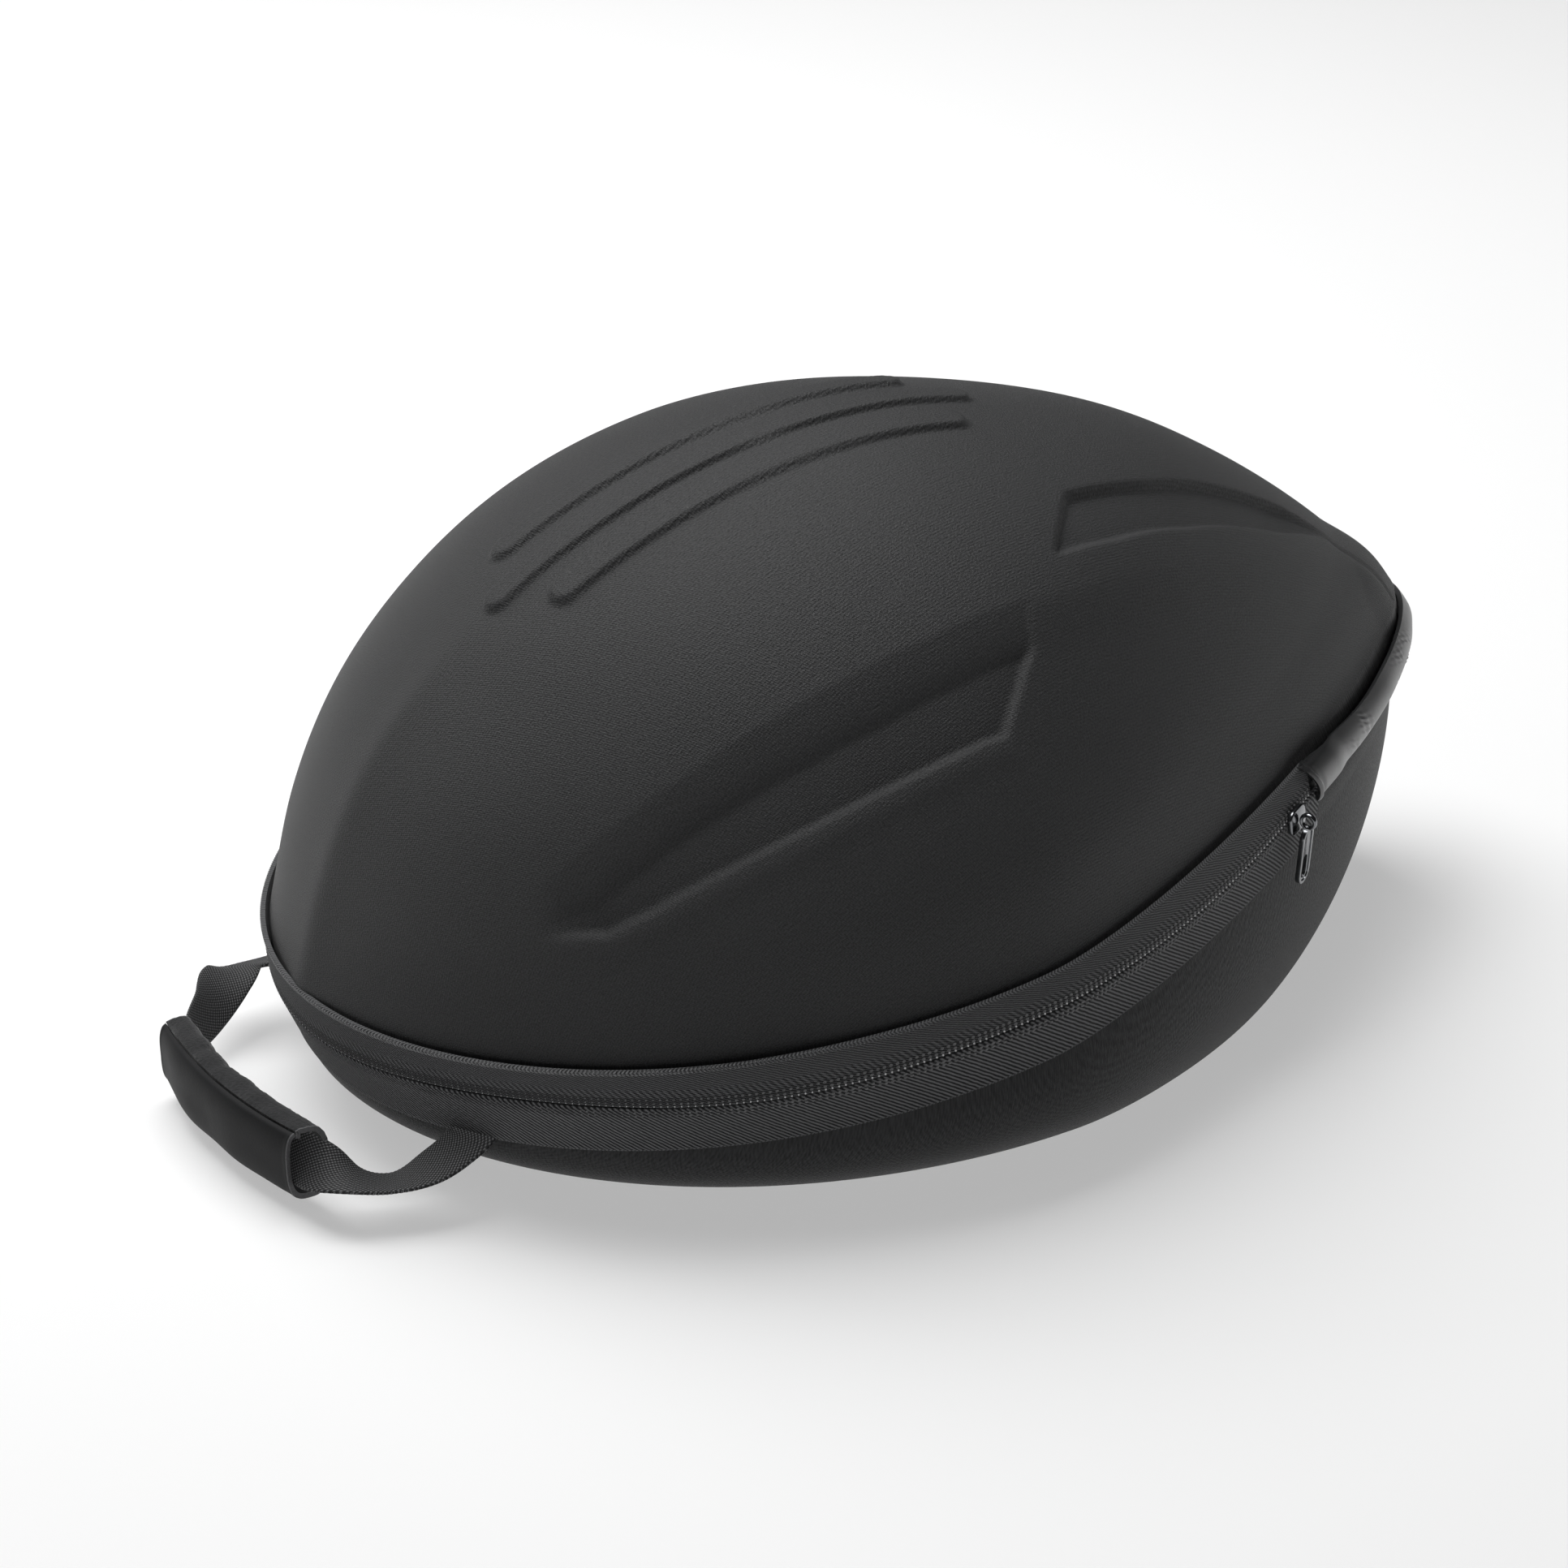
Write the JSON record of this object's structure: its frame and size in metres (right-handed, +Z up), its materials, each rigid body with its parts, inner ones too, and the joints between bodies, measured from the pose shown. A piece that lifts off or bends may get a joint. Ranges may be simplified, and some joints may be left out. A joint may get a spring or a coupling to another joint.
{
  "type": "helmet bag",
  "caption": "Moulded foam clamshell bag for a cycling helmet, drop-shaped from above, with a zip round nose and sides, a hinge patch at the tail and a webbing carry handle.",
  "frame": {"origin": "middle of the flat base, on the surface it stands on", "axes": "+Z up, +X towards the tail, the nose with the carry handle at -X, the side with the zip slider at -Y"},
  "size_m": [0.4095, 0.264, 0.1835],
  "materials": {
    "shell_knit": "matte black fine knit laminated over moulded foam",
    "zip_twill": "black herringbone twill tape with stitching",
    "zip_coil": "black nylon coil",
    "slider_metal": "glossy gunmetal plating",
    "leatherette": "smooth black leatherette with a low sheen",
    "webbing": "black basket-weave polyester webbing",
    "brushed_loop": "black brushed loop fabric"
  },
  "bodies": {
    "case": {"upper_shell": "shell_knit", "lower_shell": "shell_knit", "zip_tape_upper": "zip_twill", "zip_tape_lower": "zip_twill", "zip_coil": "zip_coil", "zip_slider": "slider_metal", "hinge_patch": "leatherette", "handle_webbing": "webbing", "handle_grip_panel": "leatherette", "handle_grip_wrap": "brushed_loop"},
    "pull": {"zip_pull": "slider_metal"}
  },
  "joints": [
    {"name": "pull_swing", "type": "hinge", "parent": "case", "child": "pull", "pos_m": [0.0844, -0.09718, 0.0697], "axis": [-0.875, -0.4726, -0.1049], "range_deg": [0, 150]}
  ]
}
